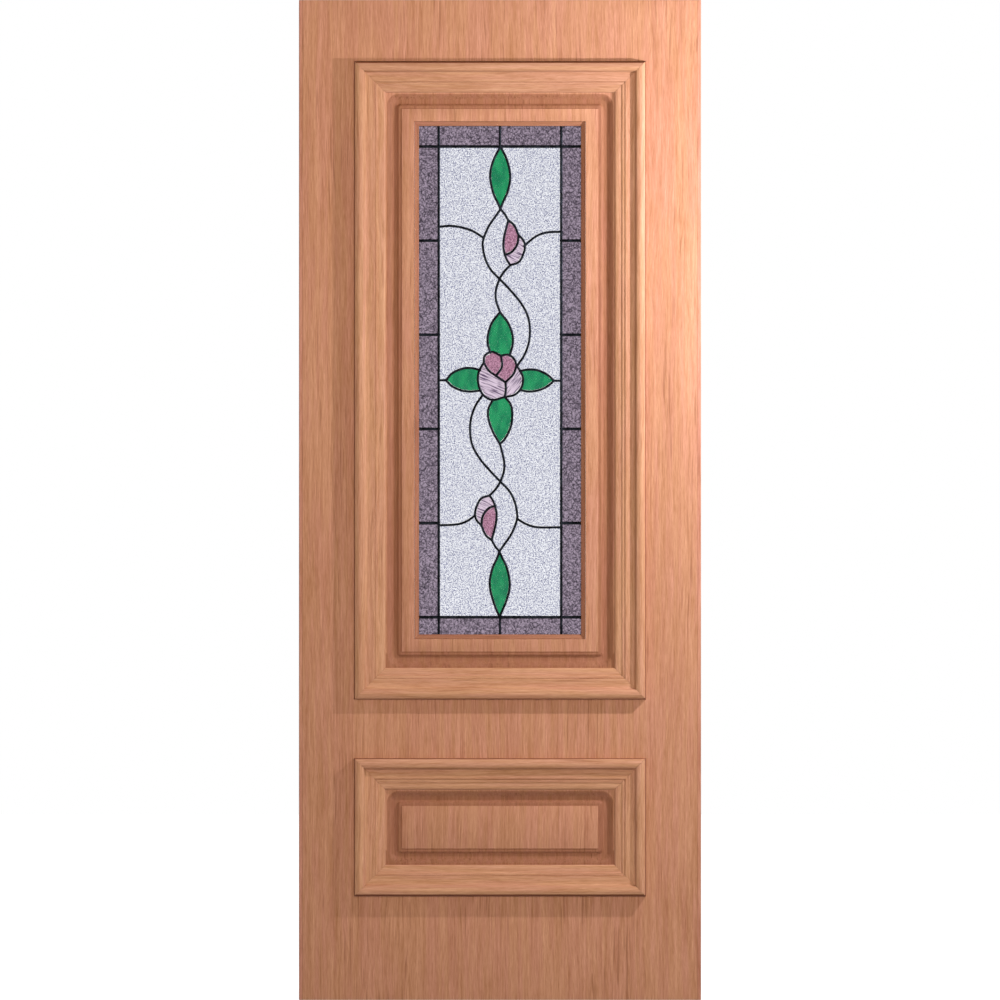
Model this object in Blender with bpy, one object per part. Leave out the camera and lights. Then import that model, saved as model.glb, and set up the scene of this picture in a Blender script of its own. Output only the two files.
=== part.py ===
"""A timber front door leaf with a leadlight panel, planted mouldings and a raised lower panel.

Metres, +Z up. The front faces -Y. The origin is the middle of the hinge edge, which is the plane X = 0.
"""
import math

import bmesh
import bpy
from mathutils import Vector
from mathutils.geometry import delaunay_2d_cdt

MM = 0.001

# The leaf
LEAF_WIDTH = 820 * MM
LEAF_HEIGHT = 2040 * MM
LEAF_THICKNESS = 40 * MM
FIT_GAP = 0.3 * MM
# From the leaf's edges to the mouldings, and between the two mouldings
STILE_MARGIN = 112.2 * MM
TOP_MARGIN = 124.6 * MM
RAIL_MARGIN = 119.5 * MM
BOTTOM_MARGIN = 211.6 * MM
LOWER_MOULDING_HEIGHT = 282.1 * MM
# How far each moulding laps over the slab round the openings
MOULDING_LAP = 45 * MM

# The front moulding's section, member by member from its outer edge inwards
ROUND_WIDTH = 11 * MM
CREST_WIDTH = 7.5 * MM
DROP_WIDTH = 7 * MM
SWELL_WIDTH = 16.8 * MM
QUIRK_WIDTH = 1.5 * MM
FILLET_WIDTH = 4.5 * MM
LIP_WIDTH = 11.7 * MM
NOSE_WIDTH = 3 * MM
WALL_RISE = 17.5 * MM
CREST_RISE = 21 * MM
CREST_FOOT_RISE = 19 * MM
DROP_FOOT_RISE = 10.2 * MM
SWELL_RISE = 10.8 * MM
QUIRK_RISE = 8 * MM
FILLET_RISE = 9.3 * MM
LIP_RISE = 7.9 * MM
NOSE_RISE = 6.2 * MM
NOSE_FOOT_RISE = 3.2 * MM

# The plain moulding on the back
BACK_RISE = 10 * MM
BACK_WALL_RISE = 4 * MM
BACK_ROUND_WIDTH = 6 * MM
BACK_CHAMFER_WIDTH = 13 * MM

# The groove routed in each panel board, from the moulding inwards
GROOVE_MARGIN = 2.1 * MM
GROOVE_WALL_WIDTH = 14 * MM
GROOVE_FLOOR_WIDTH = 5.5 * MM
GROOVE_BEVEL_WIDTH = 6.5 * MM
LEDGE_WIDTH = 5 * MM
GROOVE_DEPTH = 6 * MM
LEDGE_DEPTH = 1.5 * MM
GROOVE_CORNER_RADIUS = 25 * MM

# The glazing: the flat band round the glass, the beads and the leadlight between them
GLASS_BAND_WIDTH = 25.9 * MM
BEAD_WIDTH = 9 * MM
BEAD_SUNK = 4 * MM
BEAD_SLOPE = 2.5 * MM
CAME_DEPTH = 7 * MM
PANE_THICKNESS = 4 * MM
TOP_BORDER = 41.6 * MM
BOTTOM_BORDER = 35.1 * MM
SIDE_BORDER = 40.3 * MM
SIDE_PANES = 5
PERIMETER_CAME_WIDTH = 8 * MM
CURVED_CAME_WIDTH = 4 * MM
DIVIDER_CAME_WIDTH = 4.4 * MM
CROSS_CAME_WIDTH = 5 * MM

# How finely curves are stepped
CURVE_STEP = 12 * MM
ARC_STEPS = 4
CORNER_STEPS = 6

VENEER = (0.50, 0.25, 0.15, 1)
LEAD = (0.03, 0.03, 0.035, 1)
CLEAR_GLASS = (0.66, 0.70, 0.78, 1)
BORDER_GLASS = (0.18, 0.14, 0.18, 1)
GREEN_GLASS = (0.02, 0.32, 0.11, 1)
DARK_PINK_GLASS = (0.48, 0.18, 0.30, 1)
PALE_PINK_GLASS = (0.64, 0.46, 0.62, 1)

moulding_width = (ROUND_WIDTH + CREST_WIDTH + DROP_WIDTH + SWELL_WIDTH + FILLET_WIDTH
                  + 2 * QUIRK_WIDTH + LIP_WIDTH + NOSE_WIDTH)
groove_width = GROOVE_WALL_WIDTH + GROOVE_FLOOR_WIDTH + GROOVE_BEVEL_WIDTH + LEDGE_WIDTH
frame_half_width = LEAF_WIDTH / 2 - STILE_MARGIN
lower_half_height = LOWER_MOULDING_HEIGHT / 2
upper_half_height = (LEAF_HEIGHT - TOP_MARGIN - RAIL_MARGIN - LOWER_MOULDING_HEIGHT - BOTTOM_MARGIN) / 2
upper_centre = Vector((LEAF_WIDTH / 2, 0, LEAF_HEIGHT / 2 - TOP_MARGIN - upper_half_height))
lower_centre = Vector((LEAF_WIDTH / 2, 0, -LEAF_HEIGHT / 2 + BOTTOM_MARGIN + lower_half_height))
face = LEAF_THICKNESS / 2


def clear_scene():
    for thing in list(bpy.data.objects):
        bpy.data.objects.remove(thing, do_unlink=True)


def material(name, colour, roughness, metallic=0.0):
    made = bpy.data.materials.new(name)
    made.use_nodes = True
    shader = made.node_tree.nodes["Principled BSDF"]
    shader.inputs["Base Color"].default_value = colour
    shader.inputs["Roughness"].default_value = roughness
    shader.inputs["Metallic"].default_value = metallic
    return made


def add_piece(name, shape, finish, centre=(0, 0, 0), smooth=False):
    """Turn a bmesh into a named object, standing on the leaf at centre."""
    bmesh.ops.recalc_face_normals(shape, faces=shape.faces)
    mesh = bpy.data.meshes.new(name)
    shape.to_mesh(mesh)
    shape.free()
    mesh.materials.append(finish)
    if smooth:
        mesh.shade_smooth()
        mesh.set_sharp_from_angle(angle=math.radians(30))
    piece = bpy.data.objects.new(name, mesh)
    piece.location = centre
    piece.parent = leaf
    bpy.context.collection.objects.link(piece)
    return piece


def arc(centre, radii, start, end, steps=ARC_STEPS):
    """Points of an elliptical arc, between two angles in degrees."""
    points = []
    for step in range(steps + 1):
        angle = math.radians(start + (end - start) * step / steps)
        points.append((centre[0] + radii[0] * math.cos(angle), centre[1] + radii[1] * math.sin(angle)))
    return points


def ogee(start, end, steps=ARC_STEPS):
    """Points of a smooth slope that is level at both ends."""
    points = []
    for step in range(steps + 1):
        share = step / steps
        fall = (1 - math.cos(math.pi * share)) / 2
        points.append((start[0] + (end[0] - start[0]) * share, start[1] + (end[1] - start[1]) * fall))
    return points


def front_section():
    """The bolection moulding, as (distance in from its outer edge, rise off the slab's face)."""
    crest = ROUND_WIDTH + CREST_WIDTH
    swell = crest + DROP_WIDTH
    first_quirk = swell + SWELL_WIDTH
    fillet = first_quirk + QUIRK_WIDTH
    second_quirk = fillet + FILLET_WIDTH
    lip = second_quirk + QUIRK_WIDTH
    nose = lip + LIP_WIDTH
    section = [(0, FIT_GAP)]
    section += arc((ROUND_WIDTH, WALL_RISE), (ROUND_WIDTH, CREST_RISE - WALL_RISE), 180, 90)
    section += ogee((crest, CREST_FOOT_RISE), (swell, DROP_FOOT_RISE))
    section += [(first_quirk, SWELL_RISE), (first_quirk, QUIRK_RISE), (fillet, QUIRK_RISE)]
    section += [(fillet, FILLET_RISE), (second_quirk, FILLET_RISE)]
    section += [(second_quirk, QUIRK_RISE - FIT_GAP), (lip, QUIRK_RISE - FIT_GAP), (lip, LIP_RISE)]
    section += arc((nose, NOSE_FOOT_RISE), (NOSE_WIDTH, NOSE_RISE - NOSE_FOOT_RISE), 90, 0)
    section += [(moulding_width, FIT_GAP)]
    return section


def back_section():
    """The plain moulding on the back, in the same terms."""
    section = [(0, FIT_GAP)]
    section += arc((BACK_ROUND_WIDTH, BACK_WALL_RISE),
                   (BACK_ROUND_WIDTH, BACK_RISE - BACK_WALL_RISE), 180, 90)
    section += [(moulding_width - BACK_CHAMFER_WIDTH, BACK_RISE)]
    section += [(moulding_width, BACK_WALL_RISE), (moulding_width, FIT_GAP)]
    return section


def mitred_length(section, half_width, half_height, side):
    """One length of the front moulding, cut at 45 degrees at both ends."""
    cut_back = FIT_GAP / math.sqrt(2)
    turned = {"top": (1, False), "bottom": (-1, False), "right": (1, True), "left": (-1, True)}
    sign, upright = turned[side]
    across, along = (half_width, half_height) if upright else (half_height, half_width)
    shape = bmesh.new()
    ends = []
    for end in (-1, 1):
        row = []
        for inset, rise in section:
            off = sign * (across - inset)
            run = end * (along - inset - cut_back)
            x, z = (off, run) if upright else (run, off)
            row.append(shape.verts.new((x, -face - rise, z)))
        ends.append(row)
    count = len(section)
    for i in range(count):
        j = (i + 1) % count
        shape.faces.new((ends[0][i], ends[0][j], ends[1][j], ends[1][i]))
    for row in ends:
        shape.faces.new(row)
    return shape


def ring_points(half_width, half_height, radius, y):
    """A rectangle with rounded corners, seen from the front, always with the same number of points."""
    points = []
    for sign_x, sign_z, start in ((1, 1, 0), (-1, 1, 90), (-1, -1, 180), (1, -1, 270)):
        for step in range(CORNER_STEPS + 1):
            angle = math.radians(start + 90 * step / CORNER_STEPS)
            x = sign_x * (half_width - radius) + radius * math.cos(angle)
            z = sign_z * (half_height - radius) + radius * math.sin(angle)
            points.append((x, y, z))
    return points


def nested_rings(rings, hollow):
    """A closed solid from rings, each joined to the next, and the last to the first if it is hollow."""
    shape = bmesh.new()
    rows = [[shape.verts.new(point) for point in ring_points(*ring)] for ring in rings]
    following = rows[1:] + rows[:1] if hollow else rows[1:]
    for row, other in zip(rows, following):
        for i in range(len(row)):
            j = (i + 1) % len(row)
            shape.faces.new((row[i], row[j], other[j], other[i]))
    if not hollow:
        shape.faces.new(rows[0])
        shape.faces.new(rows[-1])
    bmesh.ops.remove_doubles(shape, verts=shape.verts, dist=0.001 * MM)
    return shape


def groove_rings(field_half_width, field_half_height):
    """The routed groove as (half width, half height, corner radius, y), from its outer edge inwards."""
    floor_end = groove_width - GROOVE_WALL_WIDTH
    bevel_end = floor_end - GROOVE_FLOOR_WIDTH
    # Each point is (distance out from the field's edge, depth below the board's face)
    section = ogee((groove_width, 0), (floor_end, GROOVE_DEPTH))
    section += ogee((bevel_end, GROOVE_DEPTH), (LEDGE_WIDTH, LEDGE_DEPTH))
    section += [(0, LEDGE_DEPTH), (0, 0)]
    rings = []
    for out, depth in section:
        radius = GROOVE_CORNER_RADIUS * out / groove_width
        rings.append((field_half_width + out, field_half_height + out, radius, -face + depth))
    return rings


def panel_board(half_width, half_height, opening=None):
    """A board the slab's thickness, grooved in front, with an opening for glass if one is given."""
    field_inset = moulding_width + GROOVE_MARGIN + groove_width
    outer = (half_width - MOULDING_LAP - FIT_GAP, half_height - MOULDING_LAP - FIT_GAP, 0)
    rings = [outer + (face,), outer + (-face,)]
    rings += groove_rings(half_width - field_inset, half_height - field_inset)
    if opening:
        rings += [opening + (0, -face), opening + (0, face)]
    return nested_rings(rings, hollow=opening is not None)


def frame_rings(section, half_width, half_height, y_face, direction):
    """A section swept round a rectangle: each point is (inset, rise off y_face)."""
    return [(half_width - inset, half_height - inset, 0, y_face + direction * rise)
            for inset, rise in section]


def plan_regions(half_width, half_height, covers):
    """Cut a rectangle along the outlines in covers, and sort the triangles into covered and open.

    An outline's points run counter-clockwise.
    """
    corners = [(-half_width, -half_height), (half_width, -half_height),
               (half_width, half_height), (-half_width, half_height)]
    points = [Vector(corner) for corner in corners]
    outlines = [[0, 1, 2, 3]]
    for cover in covers:
        first = len(points)
        points += [Vector(point) for point in cover]
        outlines.append(list(range(first, len(points))))
    flat, _, triangles, _, _, owners = delaunay_2d_cdt(points, [], outlines, 1, 0.001 * MM)
    covered, opened = [], []
    for triangle, owner in zip(triangles, owners):
        (covered if set(owner) - {0} else opened).append(tuple(triangle))
    return flat, covered, opened


def joined_groups(triangles):
    """Sort triangles into groups that share edges."""
    by_edge = {}
    for number, triangle in enumerate(triangles):
        for i in range(3):
            edge = frozenset((triangle[i], triangle[i - 1]))
            by_edge.setdefault(edge, []).append(number)
    groups, seen = [], set()
    for start in range(len(triangles)):
        if start in seen:
            continue
        seen.add(start)
        group, waiting = [], [start]
        while waiting:
            number = waiting.pop()
            triangle = triangles[number]
            group.append(triangle)
            for i in range(3):
                for other in by_edge[frozenset((triangle[i], triangle[i - 1]))]:
                    if other not in seen:
                        seen.add(other)
                        waiting.append(other)
        groups.append(group)
    return groups


def sheet_solid(flat, triangles, y_front, y_back):
    """A flat region of triangles, made into a solid between two depths."""
    shape = bmesh.new()
    used = sorted({index for triangle in triangles for index in triangle})
    front = {i: shape.verts.new((flat[i][0], y_front, flat[i][1])) for i in used}
    back = {i: shape.verts.new((flat[i][0], y_back, flat[i][1])) for i in used}
    sides = {}
    for triangle in triangles:
        shape.faces.new([front[i] for i in triangle])
        shape.faces.new([back[i] for i in reversed(triangle)])
        for i in range(3):
            edge = (triangle[i - 1], triangle[i])
            key = frozenset(edge)
            sides[key] = None if key in sides else edge
    for edge in sides.values():
        if edge:
            a, b = edge
            shape.faces.new((front[a], back[a], back[b], front[b]))
    return shape


def within(point, flat, triangles):
    """Whether a point lies in one of the triangles."""
    for triangle in triangles:
        turns = []
        for i in range(3):
            a, b = flat[triangle[i - 1]], flat[triangle[i]]
            turns.append((b[0] - a[0]) * (point[1] - a[1]) - (b[1] - a[1]) * (point[0] - a[0]))
        if all(turn >= 0 for turn in turns) or all(turn <= 0 for turn in turns):
            return True
    return False


def smooth_line(points):
    """A Catmull-Rom curve through the points, in steps of about CURVE_STEP."""
    nodes = [Vector(point) for point in points]
    nodes = [2 * nodes[0] - nodes[1]] + nodes + [2 * nodes[-1] - nodes[-2]]
    line = [nodes[1]]
    for a, b, c, d in zip(nodes, nodes[1:], nodes[2:], nodes[3:]):
        steps = max(1, round((c - b).length / CURVE_STEP))
        for step in range(1, steps + 1):
            t = step / steps
            line.append(0.5 * (2 * b + (c - a) * t + (2 * a - 5 * b + 4 * c - d) * t * t
                               + (3 * b - a - 3 * c + d) * t ** 3))
    return line


def strip(line, width):
    """The outline of a strip of a given width along a line."""
    left, right = [], []
    for i, point in enumerate(line):
        before = line[max(i - 1, 0)]
        after = line[min(i + 1, len(line) - 1)]
        along = (after - before).normalized()
        normal = Vector((-along.y, along.x))
        left.append(point + normal * width / 2)
        right.append(point - normal * width / 2)
    return right + left[::-1]


def vine_half(outer_leaf_tip, inner_leaf_tip):
    """The upper half of the vine; the lower half is the same, turned half way round the middle."""
    leaf_foot = (1, 349)
    crossing = (-1, 207)
    bud_tip, bud_side, bud_low, bud_base = (17, 326), (38, 296), (10, 256), (21, 235)
    return [
        [(1, outer_leaf_tip), (-14, 447), (-20, 417), (-14, 383), (-4, 361), leaf_foot],
        [(1, outer_leaf_tip), (14, 450), (21, 417), (16, 386), (6, 363), leaf_foot],
        [leaf_foot, (-8, 336), (-23, 314), (-33, 290), (-35, 273), (-30, 248), (-19, 226), crossing],
        [leaf_foot, (9, 340), bud_tip],
        [bud_tip, (9, 295), (7, 273), bud_low],
        [bud_tip, (29, 316), bud_side],
        [bud_side, (35, 277), (24, 262), bud_low],
        [bud_side, (48, 285), (51, 272), (47, 256), (38, 241), bud_base],
        [bud_low, (14, 246), bud_base],
        [bud_base, (8, 221), crossing],
        [crossing, (-8, 185), (-8, 163), (0, inner_leaf_tip)],
        [crossing, (20, 185), (41, 160), (56, 133), (61, 105), (59, 78), (50, 52), (36, 31)],
    ]


def drawing():
    """The curved cames of the leadlight as drawn, in millimetres from the middle of the rose.

    It reaches the straight cames at both sides, at the top and at the bottom.
    """
    top_leaf_tip, bottom_leaf_tip = 139, -130
    curves = vine_half(477, top_leaf_tip)
    curves += [[(-x, -z) for x, z in curve] for curve in vine_half(484, -bottom_leaf_tip)]
    # Branches from the vine to the border
    curves += [
        [(-125, 313), (-102, 315), (-79, 312), (-55, 304), (-34, 291)],
        [(50, 274), (64, 287), (80, 297), (99, 302), (125, 303)],
        [(-51, -276), (-67, -287), (-88, -294), (-125, -296)],
        [(35, -283), (55, -294), (78, -300), (125, -300)],
    ]
    # Four leaves round the rose, and the short stalks of two of them
    curves += [
        [(0, top_leaf_tip), (-16, 118), (-24, 95), (-25, 76), (-20, 57)],
        [(0, top_leaf_tip), (16, 118), (25, 95), (26, 74), (20, 51)],
        [(-15, -40), (-24, -60), (-23, -81), (-14, -106), (0, bottom_leaf_tip)],
        [(10, -34), (22, -50), (25, -71), (22, -95), (11, -118), (0, bottom_leaf_tip)],
        [(-110, 0), (-98, 14), (-79, 23), (-60, 25), (-41, 21)],
        [(-110, 0), (-98, -12), (-81, -20), (-62, -23), (-40, -21)],
        [(110, -1), (97, 11), (78, 20), (59, 22), (41, 19)],
        [(110, -1), (97, -12), (80, -20), (59, -23), (41, -20)],
        [(-110, 0), (-125, 0)],
        [(110, -1), (125, -1)],
    ]
    # The rose: two upper petals over two lower ones
    left, right, top, middle, heart, foot = (-33, 36), (34, 30), (2, 50), (-8, 9), (11, -4), (10, -34)
    curves += [
        [left, (-31, 50), (-16, 58), top],
        [top, (4, 28), middle],
        [left, (-23, 20), middle],
        [top, (17, 52), (29, 43), right],
        [right, (27, 12), heart],
        [middle, heart],
        [heart, (12, -18), foot],
        [left, (-43, 18), (-45, 0), (-41, -18), (-32, -32), (-15, -40), foot],
        [right, (44, 14), (47, -1), (42, -18), (29, -30), foot],
    ]
    return curves


def fitted(x, z):
    """The place on the glass of a point of the drawing."""
    points = [point for curve in drawing() for point in curve]
    reach = max(point[0] for point in points)
    top, bottom = max(point[1] for point in points), min(point[1] for point in points)
    return x * upright / reach, foot + (z - bottom) * (head - foot) / (top - bottom)


def came_strips(half_width, half_height, spare):
    """The outlines of every came in plan, each widened by spare on both sides."""
    edge_x = half_width - PERIMETER_CAME_WIDTH / 2
    edge_z = half_height - PERIMETER_CAME_WIDTH / 2
    straight = [((-half_width, z), (half_width, z), PERIMETER_CAME_WIDTH) for z in (-edge_z, edge_z)]
    straight += [((x, -half_height), (x, half_height), PERIMETER_CAME_WIDTH) for x in (-edge_x, edge_x)]
    straight += [((-edge_x, z), (edge_x, z), CROSS_CAME_WIDTH) for z in (head, foot)]
    straight += [((x, -edge_z), (x, edge_z), DIVIDER_CAME_WIDTH) for x in (-upright, upright)]
    straight += [((0, head), (0, edge_z), CURVED_CAME_WIDTH), ((0, -edge_z), (0, foot), CURVED_CAME_WIDTH)]
    for step in range(1, SIDE_PANES):
        z = head + (foot - head) * step / SIDE_PANES
        for sign in (-1, 1):
            straight.append(((sign * upright, z), (sign * edge_x, z), CROSS_CAME_WIDTH))
    strips = [strip([Vector(a), Vector(b)], width + 2 * spare) for a, b, width in straight]
    for curve in drawing():
        line = smooth_line([fitted(x, z) for x, z in curve])
        strips.append(strip(line, CURVED_CAME_WIDTH + 2 * spare))
    return strips


def pane_seeds():
    """One point inside each pane, with the pane's name and glass."""
    x_border = upright + SIDE_BORDER / 2
    z_top, z_bottom = head + TOP_BORDER / 2, foot - BOTTOM_BORDER / 2
    x_half = upright / 2
    seeds = {}
    for side, sign in (("left", -1), ("right", 1)):
        seeds[f"border_corner_top_{side}"] = (sign * x_border, z_top, "border")
        seeds[f"border_corner_bottom_{side}"] = (sign * x_border, z_bottom, "border")
        seeds[f"border_top_{side}"] = (sign * x_half, z_top, "border")
        seeds[f"border_bottom_{side}"] = (sign * x_half, z_bottom, "border")
        for step in range(SIDE_PANES):
            z = head + (foot - head) * (step + 0.5) / SIDE_PANES
            seeds[f"border_{side}_{step + 1}"] = (sign * x_border, z, "border")
    drawn = {
        "leaf_top": (0, 420, "green"), "leaf_bottom": (0, -420, "green"),
        "leaf_above_rose": (0, 95, "green"), "leaf_below_rose": (0, -85, "green"),
        "leaf_left_of_rose": (-72, 0, "green"), "leaf_right_of_rose": (72, 0, "green"),
        "rose_petal_upper_left": (-15, 38, "dark pink"), "rose_petal_upper_right": (17, 30, "dark pink"),
        "rose_petal_lower_left": (-20, -10, "pale pink"), "rose_petal_lower_right": (28, -5, "pale pink"),
        "upper_bud_dark_petal": (21, 290, "dark pink"), "upper_bud_pale_petal": (36, 258, "pale pink"),
        "lower_bud_dark_petal": (-21, -290, "dark pink"), "lower_bud_pale_petal": (-36, -258, "pale pink"),
        "clear_top_left": (-80, 420, "clear"), "clear_top_right": (80, 420, "clear"),
        "clear_in_upper_bud_loop": (-12, 285, "clear"), "clear_in_upper_tendril": (28, 132, "clear"),
        "clear_middle_left": (-85, 200, "clear"), "clear_middle_right": (95, 200, "clear"),
        "clear_lower_left": (-95, -200, "clear"), "clear_lower_right": (85, -200, "clear"),
        "clear_in_lower_tendril": (-28, -132, "clear"), "clear_in_lower_bud_loop": (12, -285, "clear"),
        "clear_bottom_left": (-80, -420, "clear"), "clear_bottom_right": (80, -420, "clear"),
    }
    for name, (x, z, glass) in drawn.items():
        seeds[name] = fitted(x, z) + (glass,)
    return seeds


def add_slab():
    """The solid-core leaf, with an opening behind each moulding."""
    covers = []
    for centre, half_height in ((upper_centre, upper_half_height), (lower_centre, lower_half_height)):
        x, z = frame_half_width - MOULDING_LAP, half_height - MOULDING_LAP
        covers.append([(-x, centre.z - z), (x, centre.z - z), (x, centre.z + z), (-x, centre.z + z)])
    flat, _, solid = plan_regions(LEAF_WIDTH / 2, LEAF_HEIGHT / 2, covers)
    add_piece("door_slab", sheet_solid(flat, solid, -face, face), veneer, (LEAF_WIDTH / 2, 0, 0))


def add_mouldings():
    """Four mitred lengths round each panel in front, and one plain frame round each behind."""
    for row, centre, half_height in (("upper", upper_centre, upper_half_height),
                                     ("lower", lower_centre, lower_half_height)):
        for side in ("top", "bottom", "left", "right"):
            shape = mitred_length(front_section(), frame_half_width, half_height, side)
            add_piece(f"{row}_moulding_{side}", shape, veneer, centre, smooth=True)
        rings = frame_rings(back_section(), frame_half_width, half_height, face, 1)
        add_piece(f"{row}_back_moulding", nested_rings(rings, hollow=True), veneer, centre, smooth=True)


def add_boards():
    """The grooved board of each panel; the upper one is open for the glass."""
    opening = (bead_half_width + FIT_GAP, bead_half_height + FIT_GAP)
    upper = panel_board(frame_half_width, upper_half_height, opening)
    add_piece("upper_panel_board", upper, veneer, upper_centre, smooth=True)
    lower = panel_board(frame_half_width, lower_half_height)
    add_piece("lower_panel_board", lower, veneer, lower_centre, smooth=True)


def add_beads():
    """A sloping bead in front of the leadlight and another behind it."""
    seat = CAME_DEPTH / 2 + FIT_GAP
    outer_rise = face - BEAD_SUNK - seat
    section = [(0, 0), (0, outer_rise), (BEAD_WIDTH, outer_rise - BEAD_SLOPE), (BEAD_WIDTH, 0)]
    for name, direction in (("front_glazing_bead", -1), ("back_glazing_bead", 1)):
        rings = frame_rings(section, bead_half_width, bead_half_height, direction * seat, direction)
        add_piece(name, nested_rings(rings, hollow=True), veneer, upper_centre)


def add_leadlight():
    """The net of lead cames, and one pane of glass in each of its openings."""
    half_width, half_height = light_half_width, light_half_height
    flat, covered, _ = plan_regions(half_width, half_height, came_strips(half_width, half_height, 0))
    depth = CAME_DEPTH / 2
    add_piece("lead_cames", sheet_solid(flat, covered, -depth, depth), lead, upper_centre)
    flat, _, opened = plan_regions(half_width, half_height, came_strips(half_width, half_height, FIT_GAP))
    panes = joined_groups(opened)
    depth = PANE_THICKNESS / 2
    for name, (x, z, glass) in pane_seeds().items():
        for pane in panes:
            if within((x, z), flat, pane):
                shape = sheet_solid(flat, pane, -depth, depth)
                add_piece(f"glass_{name}", shape, glasses[glass], upper_centre)


clear_scene()
veneer = material("veneer", VENEER, 0.55)
lead = material("lead", LEAD, 0.5, 0.6)
glasses = {
    "clear": material("clear_glass", CLEAR_GLASS, 0.2),
    "border": material("border_glass", BORDER_GLASS, 0.2),
    "green": material("green_glass", GREEN_GLASS, 0.2),
    "dark pink": material("dark_pink_glass", DARK_PINK_GLASS, 0.2),
    "pale pink": material("pale_pink_glass", PALE_PINK_GLASS, 0.2),
}
leaf = bpy.data.objects.new("door_leaf", None)
bpy.context.collection.objects.link(leaf)

bead_inset = moulding_width + GROOVE_MARGIN + groove_width + GLASS_BAND_WIDTH
bead_half_width = frame_half_width - bead_inset
bead_half_height = upper_half_height - bead_inset
light_half_width = bead_half_width - FIT_GAP
light_half_height = bead_half_height - FIT_GAP
# The centre lines of the straight cames that frame the drawing, inside the bead's sight line
upright = bead_half_width - BEAD_WIDTH - SIDE_BORDER
head = bead_half_height - BEAD_WIDTH - TOP_BORDER
foot = BEAD_WIDTH + BOTTOM_BORDER - bead_half_height

add_slab()
add_mouldings()
add_boards()
add_beads()
add_leadlight()
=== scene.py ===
import math

import bmesh
import bpy
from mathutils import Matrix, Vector


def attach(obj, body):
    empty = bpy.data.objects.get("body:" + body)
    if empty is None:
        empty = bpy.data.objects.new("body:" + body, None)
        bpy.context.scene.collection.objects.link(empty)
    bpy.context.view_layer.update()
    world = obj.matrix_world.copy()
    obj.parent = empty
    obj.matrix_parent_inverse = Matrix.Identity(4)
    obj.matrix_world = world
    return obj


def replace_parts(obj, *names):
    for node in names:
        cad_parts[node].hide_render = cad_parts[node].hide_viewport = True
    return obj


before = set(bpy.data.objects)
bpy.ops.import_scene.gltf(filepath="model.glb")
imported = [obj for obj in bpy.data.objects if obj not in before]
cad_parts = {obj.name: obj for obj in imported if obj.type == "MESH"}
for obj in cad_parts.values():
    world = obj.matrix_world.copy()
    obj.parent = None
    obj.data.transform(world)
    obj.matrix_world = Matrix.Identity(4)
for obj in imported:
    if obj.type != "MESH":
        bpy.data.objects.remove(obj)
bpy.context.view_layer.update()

# The slab: a solid-core leaf with a timber edge strip down each long side, both faces covered with
# red-brown timber veneer, its grain upright, and its arrises eased with sandpaper.
# Two openings are cut through it for the panel boards.
MM = 0.001
FACE = 20 * MM
LEAF = (820 * MM, 40 * MM, 2040 * MM)
EDGE_STRIP = 7 * MM
GROOVE_WIDTH, GROOVE_RADIUS = 31 * MM, 25 * MM
UPPER_CENTRE = Vector((410 * MM, 0, 244.3 * MM))
LOWER_CENTRE = Vector((410 * MM, 0, -667.35 * MM))
UPPER_HALF = (297.8 * MM, 651.1 * MM)
LOWER_HALF = (297.8 * MM, 141.05 * MM)
ROWS = (("upper", UPPER_CENTRE, UPPER_HALF), ("lower", LOWER_CENTRE, LOWER_HALF))
MOULDING_LAP = 45 * MM
GAP = 0.3 * MM
ARRIS = 1.6 * MM
FAIR = (0.630, 0.308, 0.181, 1)
DEEP = (0.300, 0.109, 0.036, 1)
PINK = (1.0, 0.955, 1.06, 1)
BROWN = (0.230, 0.080, 0.032, 1)


class Wire:
    """A shader socket. Sums on it add Math nodes, and node() adds any other node."""

    def __init__(self, tree, socket=None):
        self.tree, self.socket = tree, socket

    def node(self, kind, settings, sockets, output=0):
        made = self.tree.nodes.new("ShaderNode" + kind)
        for name, value in settings.items():
            setattr(made, name, value)
        for name, value in sockets.items():
            if isinstance(value, Wire):
                self.tree.links.new(value.socket, made.inputs[name])
            else:
                made.inputs[name].default_value = value
        return Wire(self.tree, made.outputs[output])

    def maths(self, operation, *values):
        return self.node("Math", {"operation": operation}, dict(enumerate(values)))

    def __add__(self, other):
        return self.maths("ADD", self, other)

    def __sub__(self, other):
        return self.maths("SUBTRACT", self, other)

    def __rsub__(self, other):
        return self.maths("SUBTRACT", other, self)

    def __mul__(self, other):
        return self.maths("MULTIPLY", self, other)

    def __abs__(self):
        return self.maths("ABSOLUTE", self)

    def over(self, low, high):
        """A smooth step from 0 at low to 1 at high."""
        return self.node("MapRange", {"interpolation_type": "SMOOTHSTEP"},
                         {"Value": self, "From Min": low, "From Max": high})

    def blend(self, first, second):
        """The first colour where this is 0, the second where it is 1."""
        return self.node("Mix", {"data_type": "RGBA"}, {0: self, 6: first, 7: second}, 2)

    def multiplied(self, stain_and_painted_shade, amount):
        """This colour where the amount is 0, and multiplied by the second colour where it is 1."""
        return self.node("Mix", {"data_type": "RGBA", "blend_type": "MULTIPLY"},
                         {0: amount, 6: self, 7: stain_and_painted_shade}, 2)

    def scaled(self, factor):
        """A colour or vector times a number."""
        return self.node("VectorMath", {"operation": "SCALE"}, {0: self, "Scale": factor})

    def noise(self, scale, detail=2.0, roughness=0.5, shift=(0, 0, 0)):
        """Noise on object coordinates, with its own scale along each axis."""
        place = self.node("Mapping", {}, {"Vector": self, "Location": shift, "Scale": scale})
        return self.node("TexNoise", {}, {"Vector": place, "Scale": 1.0, "Detail": detail,
                                          "Roughness": roughness})


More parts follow.
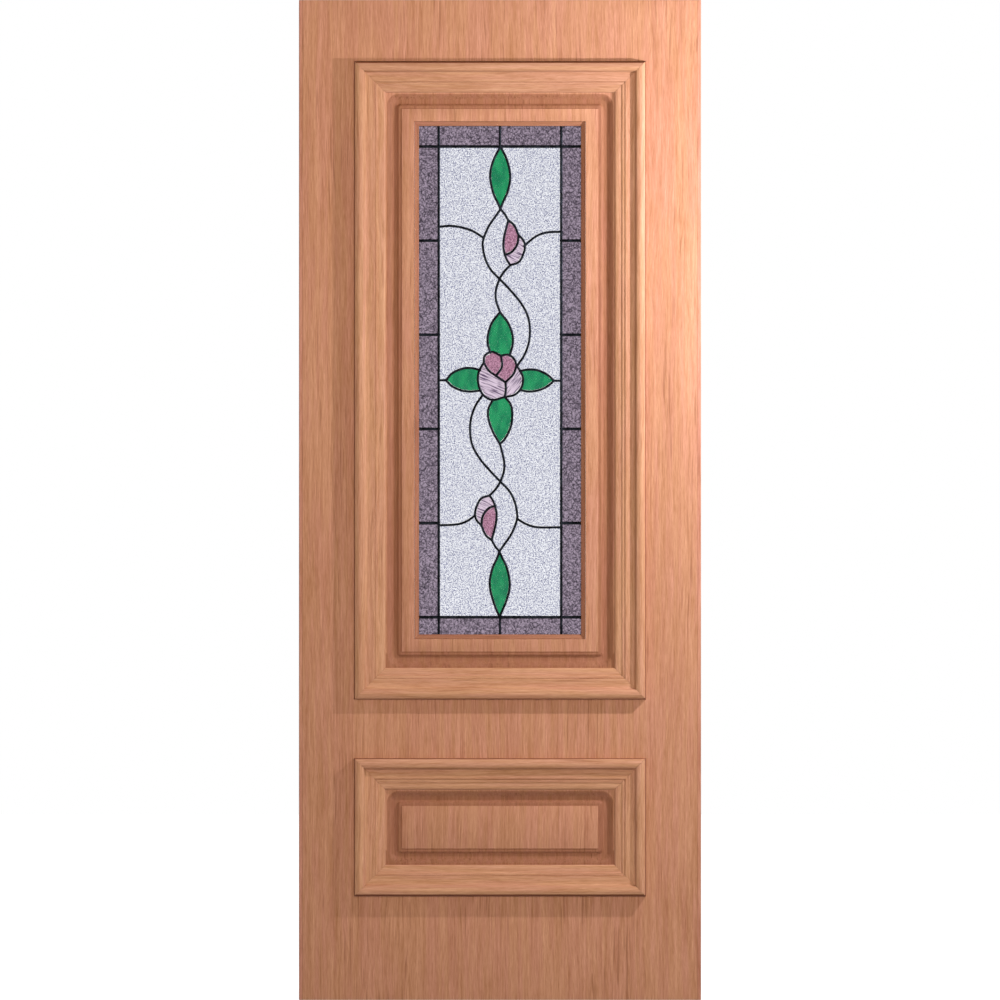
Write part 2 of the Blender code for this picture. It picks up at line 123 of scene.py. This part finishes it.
def finish(name, **settings):
    """A new material: its shader, and a wire on its object coordinates."""
    made = bpy.data.materials.new(name)
    made.use_nodes = True
    shader = made.node_tree.nodes["Principled BSDF"]
    for socket, value in settings.items():
        shader.inputs[socket.replace("_", " ")].default_value = value
    return made, shader, Wire(made.node_tree).node("TexCoord", {}, {}, "Object")


def plug(shader, socket, wire):
    wire.tree.links.new(wire.socket, shader.inputs[socket])


def timber(name, grain, shift=(0, 0, 0), figure=1.0, tint=1.0, strips=False, stain_and_painted_shade=None, field=None):
    """Matt red-brown timber with its grain along x or z, its colour multiplied by a second one all
    over, or in the groove round a field; this also lays painted shade on the moulding walls.
    """
    made, shader, place = finish(name, Roughness=0.7, Specular_IOR_Level=0.25)

    def stretched(across, along):
        return tuple(along if axis == grain else across for axis in "xyz")

    flat_place = place
    # The grain wanders a few millimetres to each side
    wander = place.noise(stretched(11, 3.5), 1.0, 0.5, shift) - 0.5
    sway = place.node("VectorMath", {"operation": "SCALE"}, {0: (1, 1, 1), "Scale": wander * 0.014})
    place = place.node("VectorMath", {"operation": "ADD"}, {0: place, 1: sway})
    bands = place.noise(stretched(45, 2.2), 2.0, 0.5, shift)
    tones = place.noise(stretched(75, 4.5), 2.0, 0.5, tuple(value + 7 for value in shift))
    streaks = place.noise(stretched(230, 9), 3.0, 0.6, shift)
    fibres = place.noise(stretched(800, 40), 2.0, 0.6, shift)
    pores = place.noise(stretched(1500, 75), 1.0, 0.5, shift).over(0.58, 0.70)
    patches = place.noise(stretched(16, 3.5), 1.0, 0.5, shift).over(0.44, 0.62)
    lines = place.noise(stretched(260, 8), 1.0, 0.4, shift).over(0.60, 0.70) * patches
    growth = (streaks - 0.5) * 0.88 + (fibres - 0.5) * 0.88 + (bands - 0.5) * 0.42 + 0.5
    colour = growth.blend(DEEP, FAIR).multiplied(PINK, tones.over(0.36, 0.64))
    colour = (lines * 0.5 * figure + pores * 0.18).blend(colour, BROWN)
    if strips:
        # Distance in from the nearer long edge: the glue line shows dark where the strip ends
        across = place.node("SeparateXYZ", {}, {"Vector": flat_place}, "X")
        inward = LEAF[0] / 2 - abs(across - LEAF[0] / 2)
        line = abs(inward - EDGE_STRIP)
        strip = inward.over(EDGE_STRIP + 0.2 * MM, EDGE_STRIP - 0.2 * MM)
        colour = colour.multiplied(PINK, strip)
        colour = colour.multiplied((0.8, 0.76, 0.74, 1), line.over(1.1 * MM, 0.3 * MM))
    if stain_and_painted_shade:
        amount = 1.0
        if field:
            middle, half_width, half_height = field
            x = place.node("SeparateXYZ", {}, {"Vector": flat_place}, "X")
            height = place.node("SeparateXYZ", {}, {"Vector": flat_place}, "Z") - middle.z
            x, z = abs(x - middle.x) - half_width, abs(height) - half_height
            # The groove is darker and redder; its outline has rounded corners
            past_x = x.maths("MAXIMUM", x - GROOVE_WIDTH + GROOVE_RADIUS, 0)
            past_z = z.maths("MAXIMUM", z - GROOVE_WIDTH + GROOVE_RADIUS, 0)
            past = x.maths("SQRT", past_x * past_x + past_z * past_z)
            amount = x.maths("MAXIMUM", x, z).over(-0.3 * MM, 0.3 * MM)
            within = past.over(GROOVE_RADIUS + 1 * MM, GROOVE_RADIUS - 2 * MM)
            # Painted shade carries the darkening square into the two bottom corners, and it is on the
            # front alone
            painted_shade_bottom_corners = height.over(-half_height, -half_height - GROOVE_WIDTH + GROOVE_RADIUS)
            amount = amount * x.maths("MAXIMUM", within, painted_shade_bottom_corners)
            depth = place.node("SeparateXYZ", {}, {"Vector": flat_place}, "Y")
            amount = amount * depth.over(0, -FACE / 2)
        colour = colour.multiplied(stain_and_painted_shade, amount)
    plug(shader, "Base Color", colour.scaled(tint))
    plug(shader, "Roughness", (fibres - 0.5) * 0.16 + 0.7 + pores * 0.1)
    relief = fibres * 0.4 + streaks * 0.2 - pores * 0.6 - lines * 0.3
    bump = relief.node("Bump", {}, {"Strength": 0.35, "Distance": 0.12 * MM, "Height": relief})
    plug(shader, "Normal", bump)
    return made


def start(operator, **settings):
    """Add one primitive, alone in the selection, and give it back."""
    bpy.ops.object.select_all(action="DESELECT")
    operator(**settings)
    return bpy.context.object


def settle(piece, name, *finishes):
    """Name a finished piece, put its place into its mesh and give it its finishes."""
    bpy.ops.object.select_all(action="DESELECT")
    piece.select_set(True)
    bpy.context.view_layer.objects.active = piece
    bpy.ops.object.transform_apply(location=True, rotation=True, scale=True)
    piece.name = piece.data.name = name
    piece.data.materials.clear()
    for made in finishes:
        piece.data.materials.append(made)
    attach(piece, "root")
    return piece


def block(centre, size):
    """A box of a given size."""
    piece = start(bpy.ops.mesh.primitive_cube_add, size=1, location=centre, scale=size)
    bpy.ops.object.transform_apply(location=True, rotation=True, scale=True)
    return piece


def cut(piece, cutter):
    """Take the cutter out of the piece."""
    change = piece.modifiers.new("cut", "BOOLEAN")
    change.operation, change.object, change.solver = "DIFFERENCE", cutter, "EXACT"
    bpy.context.view_layer.objects.active = piece
    bpy.ops.object.modifier_apply(modifier="cut")
    bpy.data.objects.remove(cutter, do_unlink=True)


def ease(piece, width, segments=3, angle=40):
    """Round every sharp edge of the piece."""
    change = piece.modifiers.new("ease", "BEVEL")
    change.width, change.segments, change.angle_limit = width, segments, math.radians(angle)
    bpy.context.view_layer.objects.active = piece
    bpy.ops.object.modifier_apply(modifier="ease")


def smooth(piece, angle=30):
    bpy.ops.object.select_all(action="DESELECT")
    piece.select_set(True)
    bpy.context.view_layer.objects.active = piece
    bpy.ops.object.shade_smooth_by_angle(angle=math.radians(angle))


slab = block((LEAF[0] / 2, 0, 0), LEAF)
ease(slab, ARRIS, 4)
for row, centre, half in ROWS:
    opening = [2 * (side - MOULDING_LAP) for side in half]
    cut(slab, block(centre, (opening[0], 2 * LEAF[1], opening[1])))
smooth(slab)
slab_veneer = timber("slab_veneer", "z", strips=True)
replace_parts(settle(slab, "slab", slab_veneer), "door_slab")

# The four lengths of each front moulding: a machined bolection moulding of solid timber, planted on
# the slab over the edge of the opening and mitred at the corners, grain along each length.
ARC = 10
SECTION_WIDTH = 64.5 * MM


def arc(centre, radii, begin, end, steps=ARC):
    """Points of an elliptical arc, between two angles in degrees."""
    turns = [math.radians(begin + (end - begin) * step / steps) for step in range(steps + 1)]
    return [(centre[0] + radii[0] * math.cos(turn), centre[1] + radii[1] * math.sin(turn))
            for turn in turns]


def ogee(begin, end, steps=ARC):
    """Points of a smooth slope that is level at both ends."""
    shares = [step / steps for step in range(steps + 1)]
    return [(begin[0] + (end[0] - begin[0]) * share,
             begin[1] + (end[1] - begin[1]) * (1 - math.cos(math.pi * share)) / 2) for share in shares]


# Inset and rise, in millimetres: outer wall, crest, drop, swell, quirk, fillet, lip and nose
bolection = [(0.1, 0.3), (1.9, 17), (2.6, 17.9), (4.6, 19), (8.5, 20.6), (11, 21), (13, 20.8)]
bolection += [(15, 20.4), (17, 19.85), (19, 19.1), (19.8, 18.3), (20.6, 16.8), (22.2, 12.8), (23, 11.4)]
bolection += [(24, 10.6), (25.5, 10.3), (28.5, 10.2), (33, 10.4), (38, 10.7), (41.2, 10.9), (42, 10.8)]
bolection += [(42.3, 10.4), (42.6, 8.5), (43.6, 8.5), (43.9, 9.5), (48.1, 9.1), (48.4, 7.4)]
bolection += [(49.4, 7.2), (49.8, 7.2), (55, 6.8), (60.5, 6.2), (62.2, 5), (63.3, 4.2), (64.2, 3.1)]
bolection += [(64.5, 2.4), (64.5, 0.3)]
bolection = [(inset * MM, rise * MM) for inset, rise in bolection]


def mitred(section, half, side, y_face, outward=-1, gap=GAP):
    """One length with its section square to it, cut at 45 degrees at both ends."""
    upright = side in ("left", "right")
    sign = -1 if side in ("left", "bottom") else 1
    across, along = half if upright else half[::-1]
    piece = start(bpy.ops.mesh.primitive_circle_add, vertices=len(section), fill_type="NGON")
    for vertex, (inset, rise) in zip(piece.data.vertices, section):
        off, y = sign * (across - inset), y_face + outward * rise
        vertex.co = (off, y, -along) if upright else (-along, y, off)
    bpy.ops.object.mode_set(mode="EDIT")
    bpy.ops.mesh.select_all(action="SELECT")
    move = (0, 0, 2 * along) if upright else (2 * along, 0, 0)
    bpy.ops.mesh.extrude_region_move(TRANSFORM_OT_translate={"value": move})
    corner = along - across - gap / math.sqrt(2)
    for end in (-1, 1):
        normal = (-sign, 0, end) if upright else (end, 0, -sign)
        at = (0, 0, end * corner) if upright else (end * corner, 0, 0)
        bpy.ops.mesh.select_all(action="SELECT")
        bpy.ops.mesh.bisect(plane_co=at, plane_no=normal, use_fill=True, clear_outer=True)
    bpy.ops.mesh.select_all(action="SELECT")
    bpy.ops.mesh.normals_make_consistent(inside=False)
    bpy.ops.object.mode_set(mode="OBJECT")
    return piece


GOLDEN = (1.0, 1.07, 1.05, 1)
# Painted light and shade: the lengths listed here are made lighter or darker than the rest, as the lamp
# falls on each; the rest keep the timber's own tint of 1.05
PAINTED_LIGHT_AND_SHADE_TINTS = {("upper", "top"): 0.95, ("upper", "bottom"): 1.07, ("lower", "bottom"): 1.11,
          ("upper", "left"): 1.02, ("lower", "left"): 1.07}
# Painted shade: the outer walls get a darker colour along the joint with the slab, and a deeper one
# where they face away from the lamp
painted_shade_edge_timber = timber("moulding_edge_painted_shade", "z", (1.3, 0, 4.1), 0.8, 1.0, stain_and_painted_shade=(0.6, 0.47, 0.39, 1))
painted_deep_shade_edge_timber = timber("moulding_edge_painted_deep_shade", "x", (0, 0, 2), 0.8, 1.0,
                          stain_and_painted_shade=(0.34, 0.23, 0.16, 1))
for row, centre, half in ROWS:
    for side in ("top", "bottom", "left", "right"):
        length = mitred(bolection, half, side, -FACE)
        smooth(length)
        # The outer wall, which faces away from the panel, gets painted shade along the joint with the
        # slab, and deeper painted shade on the outermost of the level lengths, whose walls face away
        # from the lamp
        axis, sign = (0, -1) if side == "left" else (0, 1) if side == "right" else (2, 1)
        sign = -1 if side == "bottom" else sign
        deepest_shade = (row, side) in (("upper", "top"), ("lower", "bottom"))
        least = 0.45 if deepest_shade else 0.9
        walls = [face.index for face in length.data.polygons if face.normal[axis] * sign > least]
        length.location = centre
        grain = "z" if side in ("left", "right") else "x"
        wood = timber(f"moulding_timber_{row}_{side}", grain, (3.1 + len(side), 0, 0.7 + len(row)),
                      0.8, PAINTED_LIGHT_AND_SHADE_TINTS.get((row, side), 1.05), stain_and_painted_shade=GOLDEN)
        settle(length, f"{row}_front_moulding_{side}", wood,
               painted_deep_shade_edge_timber if deepest_shade else painted_shade_edge_timber)
        for index in walls:
            length.data.polygons[index].material_index = 1
        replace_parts(length, f"{row}_moulding_{side}")

# The two panel boards: veneered boards as thick as the slab, with a coved and bevelled groove routed
# round a raised field. The upper board's field is cut out for the glass, leaving a flat band.
GROOVE_MARGIN = 2.1 * MM
GROOVE_INSET = SECTION_WIDTH + GROOVE_MARGIN + GROOVE_WIDTH
CORNER_STEPS = 12
# Darker and redder in the groove
GROOVE_DARKENING = (0.655, 0.57, 0.51, 1)


def outline(half_width, half_height, radius, y):
    """A rectangle with rounded corners, as seen from the front."""
    points = []
    for sign_x, sign_z, begin in ((1, 1, 0), (-1, 1, 90), (-1, -1, 180), (1, -1, 270)):
        middle = (sign_x * (half_width - radius), sign_z * (half_height - radius))
        points += [(x, y, z) for x, z in arc(middle, (radius, radius), begin, begin + 90, CORNER_STEPS)]
    return points


def lofted(rings, hollow):
    """A solid from outlines, each one extruded from the last and moved to its place."""
    piece = start(bpy.ops.mesh.primitive_circle_add, vertices=len(rings[0]), fill_type="NOTHING")
    for vertex, point in zip(piece.data.vertices, rings[0]):
        vertex.co = point
    bpy.ops.object.mode_set(mode="EDIT")
    bpy.ops.mesh.select_all(action="SELECT")
    shape = bmesh.from_edit_mesh(piece.data)
    for ring in rings[1:] + (rings[:1] if hollow else []):
        bpy.ops.mesh.extrude_edges_move()
        shape.verts.ensure_lookup_table()
        for vertex, point in zip([vertex for vertex in shape.verts if vertex.select], ring):
            vertex.co = point
    if not hollow:
        bpy.ops.mesh.edge_face_add()
        bpy.ops.mesh.select_all(action="SELECT")
        bpy.ops.mesh.fill_holes(sides=0)
    bpy.ops.mesh.select_all(action="SELECT")
    bpy.ops.mesh.remove_doubles(threshold=0.001 * MM)
    bpy.ops.mesh.normals_make_consistent(inside=False)
    bpy.ops.object.mode_set(mode="OBJECT")
    return piece


def groove(half_width, half_height):
    """Outlines from the groove's outer edge in to the field: cove, floor, bevel, ledge and step."""
    section = ogee((31, 0), (17, 6)) + ogee((11.5, 6), (5.2, 1.6))
    section += [(4.6, 1.5), (1.0, 1.5), (0.7, 1.3), (0.1, 0.2), (-0.3, 0)]
    outlines = []
    for out, depth in section:
        radius = max(out, 0) * GROOVE_RADIUS / GROOVE_WIDTH * MM
        outlines.append(outline(half_width + out * MM, half_height + out * MM, radius,
                                -FACE + depth * MM))
    return outlines


BEAD_HALF = (174.3 * MM, 527.6 * MM)
for row, centre, half in ROWS:
    outer = [side - MOULDING_LAP - GAP for side in half]
    rings = [outline(*outer, 0, FACE), outline(*outer, 0, -FACE)]
    rings += groove(half[0] - GROOVE_INSET, half[1] - GROOVE_INSET)
    if row == "upper":
        sides = [side + GAP for side in BEAD_HALF]
        rings += [outline(*sides, 0, -FACE), outline(*sides, 0, FACE)]
    board = lofted(rings, hollow=row == "upper")
    smooth(board)
    board.location = centre
    field = (centre, half[0] - GROOVE_INSET, half[1] - GROOVE_INSET)
    board_veneer = timber(f"{row}_board_veneer", "z", (1.7, 0, 2.3), 0.9, 0.975,
                          stain_and_painted_shade=GROOVE_DARKENING, field=field)
    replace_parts(settle(board, f"{row}_board", board_veneer), f"{row}_panel_board")

# The back mouldings and the glazing beads: plain mitred timber frames. A back moulding covers each
# opening's edge on the inside of the door, and a sloping bead on each side holds the leadlight.


def joined(lengths, level_wood, upright_wood, name, centre, node):
    """Four mitred lengths glued up into one frame."""
    for length in lengths:
        smooth(length)
    for length, wood in zip(lengths, (level_wood, level_wood, upright_wood, upright_wood)):
        length.data.materials.clear()
        length.data.materials.append(wood)
        length.location = centre
    bpy.ops.object.select_all(action="DESELECT")
    for length in lengths:
        length.select_set(True)
    bpy.context.view_layer.objects.active = lengths[0]
    bpy.ops.object.join()
    piece = bpy.context.object
    bpy.ops.object.transform_apply(location=True, rotation=True, scale=True)
    piece.name = piece.data.name = name
    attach(piece, "root")
    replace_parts(piece, node)


plain = [(0, 0.3)] + arc((6, 4), (6, 6), 180, 90) + [(51.5, 10), (64, 4.2), (64.5, 3.7), (64.5, 0.3)]
plain = [(inset * MM, rise * MM) for inset, rise in plain]
bead = [(0, 0), (0, 11.8), (0.5, 12.3), (7.6, 9.9)] + arc((7.6, 8.5), (1.4, 1.4), 90, 0, 6) + [(9, 0)]
bead = [(inset * MM, rise * MM) for inset, rise in bead]
SIDES = ("top", "bottom", "left", "right")
upright_plain = timber("plain_timber_upright", "z", (3.1, 0, 0.7), 0.8, 1.05, stain_and_painted_shade=GOLDEN)
level_plain = timber("plain_timber_level", "x", (0.4, 0, 5.2), 0.8, 1.05, stain_and_painted_shade=GOLDEN)
for row, centre, half in ROWS:
    lengths = [mitred(plain, half, side, FACE, 1, 0.1 * MM) for side in SIDES]
    joined(lengths, level_plain, upright_plain, f"{row}_plain_moulding", centre, f"{row}_back_moulding")
BEAD_STAIN = (0.66, 0.58, 0.56, 1)
BEAD_SEAT = 3.8 * MM
upright_bead = timber("bead_timber_upright", "z", (5.3, 0, 1.9), 0.8, 1.0, stain_and_painted_shade=BEAD_STAIN)
level_bead = timber("bead_timber_level", "x", (2.2, 0, 0.8), 0.8, 1.0, stain_and_painted_shade=BEAD_STAIN)
for name, outward in (("front", -1), ("back", 1)):
    lengths = [mitred(bead, BEAD_HALF, side, outward * BEAD_SEAT, outward, 0.1 * MM) for side in SIDES]
    joined(lengths, level_bead, upright_bead, f"{name}_bead", UPPER_CENTRE, f"{name}_glazing_bead")

# The lead cames of the leadlight: strips of lead, domed on both faces, bent along the drawing and
# soldered where they meet. The flanges lap the edges of the glass.
GLASS_X, GLASS_Z = 174, 527.3
UPRIGHT, HEAD, FOOT = 125, 477, -483.5
TOP_TIP, BOTTOM_TIP = 139, -130
leaf_foot, crossing = (1, 349), (-1, 207)
bud_tip, bud_side, bud_low, bud_base = (17, 326), (38, 296), (10, 256), (21, 235)


def vine_half(outer_tip, inner_tip):
    """The upper half of the vine, in millimetres; the lower half is the same, turned half way round."""
    return [
        [(1, outer_tip), (-14, 447), (-20, 417), (-14, 383), (-4, 361), leaf_foot],
        [(1, outer_tip), (14, 450), (21, 417), (16, 386), (6, 363), leaf_foot],
        [leaf_foot, (-8, 336), (-23, 314), (-33, 290), (-35, 273), (-30, 248), (-19, 226), crossing],
        [leaf_foot, (9, 340), bud_tip],
        [bud_tip, (9, 295), (7, 273), bud_low],
        [bud_tip, (29, 316), bud_side],
        [bud_side, (35, 277), (24, 262), bud_low],
        [bud_side, (48, 285), (51, 272), (47, 256), (38, 241), bud_base],
        [bud_low, (14, 246), bud_base],
        [bud_base, (8, 221), crossing],
        [crossing, (-8, 185), (-8, 163), (0, inner_tip)],
        [crossing, (20, 185), (41, 160), (56, 133), (61, 105), (59, 78), (50, 52), (36, 31)],
    ]


curved = vine_half(HEAD, TOP_TIP)
curved += [[(-x, -z) for x, z in line] for line in vine_half(-FOOT, -BOTTOM_TIP)]
curved += [
    [(-125, 313), (-102, 315), (-79, 312), (-55, 304), (-34, 291)],
    [(50, 274), (64, 287), (80, 297), (99, 302), (125, 303)],
    [(-51, -276), (-67, -287), (-88, -294), (-125, -296)],
    [(35, -283), (55, -294), (78, -300), (125, -300)],
    [(0, TOP_TIP), (-16, 118), (-24, 95), (-25, 76), (-20, 57)],
    [(0, TOP_TIP), (16, 118), (25, 95), (26, 74), (20, 51)],
    [(-15, -40), (-24, -60), (-23, -81), (-14, -106), (0, BOTTOM_TIP)],
    [(10, -34), (22, -50), (25, -71), (22, -95), (11, -118), (0, BOTTOM_TIP)],
    [(-110, 0), (-98, 14), (-79, 23), (-60, 25), (-41, 21)],
    [(-110, 0), (-98, -12), (-81, -20), (-62, -23), (-40, -21)],
    [(110, -1), (97, 11), (78, 20), (59, 22), (41, 19)],
    [(110, -1), (97, -12), (80, -20), (59, -23), (41, -20)],
    [(-110, 0), (-125, 0)],
    [(110, -1), (125, -1)],
    [(-33, 36), (-31, 50), (-16, 58), (2, 50)],
    [(2, 50), (4, 28), (-8, 9)],
    [(-33, 36), (-23, 20), (-8, 9)],
    [(2, 50), (17, 52), (29, 43), (34, 30)],
    [(34, 30), (27, 12), (11, -4)],
    [(-8, 9), (11, -4)],
    [(11, -4), (12, -18), (10, -34)],
    [(-33, 36), (-43, 18), (-45, 0), (-41, -18), (-32, -32), (-15, -40), (10, -34)],
    [(34, 30), (44, 14), (47, -1), (42, -18), (29, -30), (10, -34)],
]
edge_x, edge_z = 170, 523.3
straight = [([(-GLASS_X, z), (GLASS_X, z)], 8) for z in (-edge_z, edge_z)]
straight += [([(x, -GLASS_Z), (x, GLASS_Z)], 8) for x in (-edge_x, edge_x)]
straight += [([(-edge_x, z), (edge_x, z)], 5) for z in (HEAD, FOOT)]
straight += [([(x, -edge_z), (x, edge_z)], 4.4) for x in (-UPRIGHT, UPRIGHT)]
straight += [([(0, HEAD), (0, edge_z)], 4), ([(0, -edge_z), (0, FOOT)], 4)]
for step in range(1, 5):
    z = HEAD + (FOOT - HEAD) * step / 5
    for sign in (-1, 1):
        straight.append(([(sign * UPRIGHT, z), (sign * edge_x, z)], 5))


def came(line, width, rise=3.5, lap=0.4):
    """One strip of lead along a smooth line on the glass, domed in front and behind."""
    path = bpy.data.curves.new("came", "CURVE")
    path.dimensions, path.resolution_u = "2D", 10
    spline = path.splines.new("BEZIER")
    spline.bezier_points.add(len(line) - 1)
    points = [Vector((x, z, 0)) for x, z in line]
    around = [2 * points[0] - points[1]] + points + [2 * points[-1] - points[-2]]
    for knot, before, at, after in zip(spline.bezier_points, around, points, around[2:]):
        knot.co = at * MM
        knot.handle_left = (at - (after - before) / 6) * MM
        knot.handle_right = (at + (after - before) / 6) * MM
    half = width / 2 + lap
    section = arc((0, 2.0), (half, rise - 2.0), 0, 180, 8)
    section += arc((0, -2.0), (half, rise - 2.0), 180, 360, 8)
    shape = bpy.data.curves.new("came_section", "CURVE")
    shape.dimensions = "2D"
    edge = shape.splines.new("POLY")
    edge.points.add(len(section) - 1)
    for knot, (x, y) in zip(edge.points, section):
        knot.co = (x * MM, y * MM, 0, 1)
    edge.use_cyclic_u = True
    outline_object = bpy.data.objects.new("came_section", shape)
    bpy.context.collection.objects.link(outline_object)
    path.bevel_mode, path.bevel_object, path.use_fill_caps = "OBJECT", outline_object, True
    strip = bpy.data.objects.new("came", path)
    bpy.context.collection.objects.link(strip)
    bpy.ops.object.select_all(action="DESELECT")
    strip.select_set(True)
    bpy.context.view_layer.objects.active = strip
    bpy.ops.object.convert(target="MESH")
    bpy.data.objects.remove(outline_object, do_unlink=True)
    strip.rotation_euler = (math.pi / 2, 0, 0)
    return strip


def solder(x, z, size):
    """A flattened blob of solder over a joint, in front and behind."""
    blob = start(bpy.ops.mesh.primitive_uv_sphere_add, segments=14, ring_count=8,
                 location=(x * MM, 0, z * MM))
    blob.scale = (size * MM, 3.9 * MM, size * MM)
    return blob


cames = [came(line, width) for line, width in straight] + [came(line, 4) for line in curved]
joints = {}
for line, width in straight[4:]:
    for x, z in (line[0], line[-1]):
        joints[(round(x), round(z))] = 3.6
for x in (-UPRIGHT, UPRIGHT):
    for z in (HEAD, FOOT):
        joints[(x, z)] = 4.4
for line in curved:
    for x, z in (line[0], line[-1]):
        joints.setdefault((round(x), round(z)), 3.2)
net = cames + [solder(x, z, size) for (x, z), size in joints.items()]
bpy.ops.object.select_all(action="DESELECT")
for strip in net:
    strip.select_set(True)
bpy.context.view_layer.objects.active = net[0]
bpy.ops.object.transform_apply(location=True, rotation=True, scale=True)
bpy.ops.object.join()
net = bpy.context.object
net.location = UPPER_CENTRE
smooth(net, 40)
lead, shader, place = finish("lead", Roughness=0.5, Metallic=0.75, Specular_IOR_Level=0.3)
mottle = place.noise((90, 90, 90), 4.0, 0.6)
scratches = place.noise((700, 700, 700), 3.0, 0.6)
dull, bright = (0.002, 0.0025, 0.004, 1), (0.018, 0.021, 0.028, 1)
plug(shader, "Base Color", mottle.over(0.35, 0.7).blend(dull, bright))
plug(shader, "Roughness", mottle * 0.3 + 0.35)
plug(shader, "Normal", scratches.node("Bump", {}, {"Strength": 0.4, "Distance": 0.15 * MM,
                                                   "Height": scratches + mottle}))
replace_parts(settle(net, "came_net", lead), "lead_cames")


# The glass: each pane is cut from a sheet of textured glass. The background is a fine granite texture
# in pale blue-grey, the border a hammered purple-grey, and the leaves and petals streaky colours.
def sheet_glass(name, dark, light, scale, bounds, relief, rough, clear, turn=0, winding=False):
    """Sheet glass whose texture also shades it: turned streaks, or thin winding creases."""
    made, shader, place = finish(name, Roughness=rough, IOR=1.5, Transmission_Weight=clear)
    spot = place.node("Mapping", {}, {"Vector": place, "Rotation": (0, math.radians(turn), 0)})
    spot = place.node("Mapping", {}, {"Vector": spot, "Scale": scale})
    texture = place.node("TexNoise", {}, {"Vector": spot, "Scale": 1.0, "Detail": 1.5,
                                          "Roughness": 0.5})
    texture = abs(texture - 0.5) if winding else texture
    plug(shader, "Base Color", texture.over(*bounds).blend(dark, light))
    plug(shader, "Normal", texture.node("Bump", {}, {"Strength": 0.4, "Distance": relief * MM,
                                                     "Height": texture}))
    return made


# On the clear and the border sheets the dark and light marks are painted light and shade, for the white
# surroundings seen bent through the texture, over the glass's own tint
PALE = (0.10, 0.055, 0.13, 1), (0.74, 0.61, 0.73, 1), (35, 35, 380), (0.36, 0.54), 0.6, 0.3, 0.85
glasses = {
    "clear": sheet_glass("granite_clear_glass", (0.10, 0.105, 0.22, 1), (0.94, 0.955, 1.0, 1),
                         (430, 430, 430), (0.365, 0.53), 0.6, 0.35, 1.0),
    "border": sheet_glass("hammered_purple_glass", (0.018, 0.011, 0.022, 1), (0.36, 0.285, 0.37, 1),
                          (150, 150, 150), (0.0, 0.10), 1.0, 0.3, 1.0, winding=True),
    "green": sheet_glass("streaky_green_glass", (0.003, 0.21, 0.09, 1), (0.014, 0.335, 0.125, 1),
                         (70, 70, 28), (0.35, 0.65), 0.6, 0.25, 0.85),
    "dark pink": sheet_glass("streaky_dark_pink_glass", (0.18, 0.06, 0.11, 1), (0.68, 0.36, 0.51, 1),
                             (420, 420, 420), (0.40, 0.60), 0.6, 0.3, 0.85),
    "left pale pink": sheet_glass("streaky_pale_pink_glass_left", *PALE, turn=-24),
    "right pale pink": sheet_glass("streaky_pale_pink_glass_right", *PALE, turn=52),
}
dark_petals = ("rose_petal_upper_left", "rose_petal_upper_right", "upper_bud_dark", "lower_bud_dark")
for name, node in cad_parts.items():
    if name.startswith("glass_"):
        kind = "right pale pink" if name.endswith("right") else "left pale pink"
        if "border" in name:
            kind = "border"
        elif "leaf" in name:
            kind = "green"
        elif "clear" in name:
            kind = "clear"
        elif any(petal in name for petal in dark_petals):
            kind = "dark pink"
        for holder in node.material_slots:
            holder.material = glasses[kind]

# The studio: a pale floor, white surroundings, wide soft lights in front and behind, and one small
# lamp near the door's right side. The floor takes light and shadow, but throws none on the door.
AMBIENT, FILL = 0.14, 3.61
floor = start(bpy.ops.mesh.primitive_plane_add, size=40, location=(0.41, 0, -LEAF[2] / 2))
floor.name = "studio_floor"
pale = finish("studio_floor", Roughness=0.9, Base_Color=(0.3, 0.3, 0.3, 1),
              Emission_Color=(1, 1, 1, 1), Emission_Strength=1.0)[0]
floor.data.materials.append(pale)
floor.visible_diffuse = False

world = bpy.data.worlds.new("studio")
world.use_nodes = True
bpy.context.scene.world = world
tree = world.node_tree
surround = tree.nodes["Background"]
surround.inputs["Color"].default_value = (1, 1, 1, 1)
seen = Wire(tree).node("LightPath", {}, {}, "Is Camera Ray")
through = Wire(tree).node("LightPath", {}, {}, "Is Transmission Ray")
tree.links.new((seen.maths("MAXIMUM", seen, through) * (1 - AMBIENT) + AMBIENT).socket,
               surround.inputs["Strength"])

for name, turn, strength in (("front_light", 0, FILL), ("back_light", math.pi, FILL)):
    sun = bpy.data.lights.new(name, "SUN")
    sun.energy, sun.angle, sun.color = strength, math.radians(35), (1.0, 0.975, 0.915)
    sun_object = bpy.data.objects.new(name, sun)
    sun_object.rotation_euler = (math.pi / 2, 0, turn)
    sun_object.visible_transmission = sun_object.visible_glossy = False
    bpy.context.collection.objects.link(sun_object)

lamp = bpy.data.lights.new("lamp", "POINT")
lamp.energy, lamp.shadow_soft_size = 115, 0.03
lamp.color = (0.82, 0.86, 0.95)
lamp_object = bpy.data.objects.new("lamp", lamp)
lamp_object.location = (1.6, -0.62, 0.63)
bpy.context.collection.objects.link(lamp_object)

camera = bpy.data.objects.new("camera", bpy.data.cameras.new("camera"))
camera.data.lens, camera.data.sensor_width, camera.data.clip_end = 600, 36, 100
camera.location, camera.rotation_euler = (0.41, -34.01, 0), (math.pi / 2, 0, 0)
bpy.context.collection.objects.link(camera)
bpy.context.scene.camera = camera
bpy.context.scene.view_settings.view_transform = "Standard"
